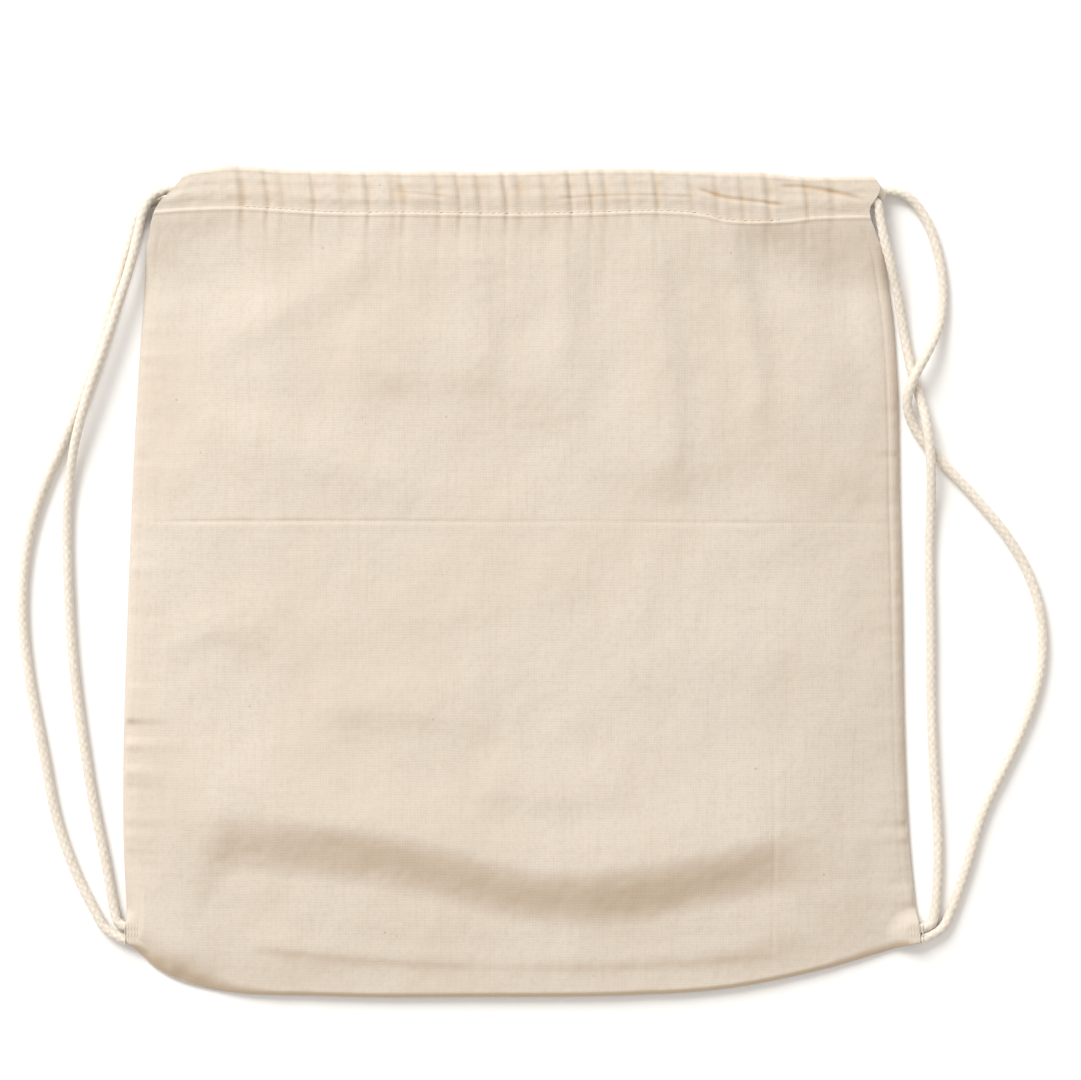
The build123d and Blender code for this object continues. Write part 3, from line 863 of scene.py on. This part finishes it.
def thread_stitches(name, ends, node):
    """Lockstitches, each a short twisted thread bedded into the cloth between the two points of ends."""
    points, faces = [], []
    for first, last in ends:
        first, last = np.array(first, float), np.array(last, float)
        along = last - first
        length = np.linalg.norm(along)
        along /= length
        side = np.cross((0, 0, 1), along)
        side /= np.linalg.norm(side)
        raised = np.cross(along, side)
        base = len(points)
        stations = ((0, 0.12), (0.06, 0.62), (0.2, 0.95), (0.5, 1), (0.8, 0.95), (0.94, 0.62), (1, 0.12))
        for share, thick in stations:
            centre = first + along * length * share + raised * (0.16 * math.sin(math.pi * share) - 0.05)
            for k in range(8):
                angle = math.pi / 4 * k + share * 2.5
                around = math.cos(angle) * side * (1 + 0.12 * (k % 2)) + 0.8 * math.sin(angle) * raised
                points.append(centre + thick * STITCH_WIDTH / 2 * around)
        faces += [tuple(base + index for index in face) for face in grid_faces(len(stations), 8, closed=True)]
        last_ring = base + (len(stations) - 1) * 8
        faces += [tuple(range(base, base + 8))[::-1], tuple(range(last_ring, last_ring + 8))]
    piece = new_mesh(name, points, faces, thread_material)
    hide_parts(node)
    return piece


def stitched_rows(front):
    """Rows along both casings and the side seams, and the bars over the cord ends."""
    tree = BVHTree.FromObject(front, bpy.context.evaluated_depsgraph_get())

    def on_front(x, y):
        hit = tree.ray_cast(Vector((x * MM, y * MM, 0.06)), Vector((0, 0, -1)))[0]
        return hit.z / MM if hit else 0

    def row(low_x, high_x, height):
        ends = []
        for x in np.arange(low_x, high_x - STITCH_LENGTH, STITCH_PITCH):
            pair = []
            for place in (x, x + STITCH_LENGTH):
                y = ROW_Y + float(row_shift(place))
                pair.append((place, y, height(place, y)))
            ends.append(pair)
        return ends

    top = thread_stitches("front_row_stitches", row(-138, 128, on_front), "front_casing_stitching")
    opens_with_mouth(top)
    under_ends = row(-157, 162, lambda x, y: BACK_ROW_Z)
    under = thread_stitches("back_row_stitches", under_ends, "back_casing_stitching")
    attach(under, "bag")
    for name, edge, inward in (("left", left_edge, 1), ("right", right_edge, -1)):
        ends = []
        for y in np.arange(-157, SLIT_Y - STITCH_LENGTH - 1, STITCH_PITCH):
            low, high = (edge(np.array([place]))[0] + inward * SEAM_ROW_IN for place in (y, y + STITCH_LENGTH))
            ends.append(((low, y, SEAM_ROW_Z), (high, y + STITCH_LENGTH, SEAM_ROW_Z)))
        piece = thread_stitches(f"{name}_seam_stitches", ends, f"{name}_side_stitching")
        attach(piece, "bag")
        corner = CORNER_X - 2
        bars = []
        for bar in np.arange(-2, 3) * BAR_SPACING:
            x = -inward * corner + bar
            for base in BAR_BASES:
                places = (base, base + BAR_LENGTH)
                bars.append(tuple((x, y, max(on_front(x, y) - 0.12, BAR_LOW)) for y in places))
        piece = thread_stitches(f"{name}_bartack_stitches", bars, f"{name}_corner_bartack")
        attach(piece, "bag")
    return top


# ------------------------------------------------------------------ cords inside the casings
def pressed_flat(place):
    """The casings press the cords inside them a little flat."""
    return 1 - 0.3 * smooth((place[0] - CASING_LEFT) / 12) * smooth((CASING_RIGHT - place[0]) / 12)


def casing_cords():
    """Each cord's two runs through the casings, round the far end from front to back."""
    for name, far, front_y, back_y in (("left", 1, HIGH_Y, LOW_Y), ("right", -1, LOW_Y, HIGH_Y)):
        near_x, far_x = (STRAND_LEFT, CASING_RIGHT) if far > 0 else (STRAND_RIGHT, CASING_LEFT)
        xs = np.linspace(near_x, far_x, 60)
        in_front = list(zip(xs, shifted(xs, front_y + 0 * xs), crown(xs)))
        behind = list(zip(xs[::-1], shifted(xs[::-1], back_y + 0 * xs), BACK_Z + 0 * xs))
        y_front, y_back = in_front[-1][1], behind[0][1]
        half_way = (far_x + far * 3.6, (y_front + y_back) / 2, (END_Z + BACK_Z) / 2)
        middle = [(far_x + far * 1.2, y_front, END_Z), half_way, (far_x + far * 1.2, y_back, BACK_Z)]
        path = route_points(name, in_front + middle + behind)
        piece = braided_tube(f"{name}_casing_cord", path, CORD * MM, cord_material, squeeze=pressed_flat)
        opens_with_mouth(piece, always_front=False)
        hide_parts(f"{name}_cord_front_run", f"{name}_cord_back_run", f"{name}_cord_bight")


# ------------------------------------------------------------------ the picture
def studio():
    """White floor, one large soft light from the upper left, fill all round, and the camera overhead."""
    bpy.context.scene.view_settings.view_transform = "Standard"
    bpy.ops.mesh.primitive_plane_add(size=40, location=(0, 0, 0))
    floor = bpy.context.object
    floor.name = "floor"
    pale, _, _ = node_tree("floor_white", (0.97, 0.97, 0.97), 0.95)
    floor.data.materials.append(pale)
    world = bpy.data.worlds.new("studio")
    bpy.context.scene.world = world
    world.use_nodes = True
    world.node_tree.nodes["Background"].inputs["Color"].default_value = (1, 0.955, 0.90, 1)
    world.node_tree.nodes["Background"].inputs["Strength"].default_value = 0.68
    data = bpy.data.lights.new("key", "AREA")
    data.size = 2.2
    data.energy = 215
    data.color = (1.0, 0.995, 0.985)
    lamp = bpy.data.objects.new("key", data)
    lamp.location = (-2.0, 3.3, 2.6)
    lamp.rotation_euler = (-lamp.location).to_track_quat("-Z", "Y").to_euler()
    bpy.context.scene.collection.objects.link(lamp)
    data = bpy.data.cameras.new("camera")
    data.lens = 85
    data.sensor_width = 36
    camera = bpy.data.objects.new("camera", data)
    camera.location = (0.00825, 0.02225, 1.276)
    bpy.context.scene.collection.objects.link(camera)
    bpy.context.scene.camera = camera


front = front_cloth()
back = back_cloth()
side_seams()
row_stitches = stitched_rows(front)
casing_cords()
build_straps()
studio()
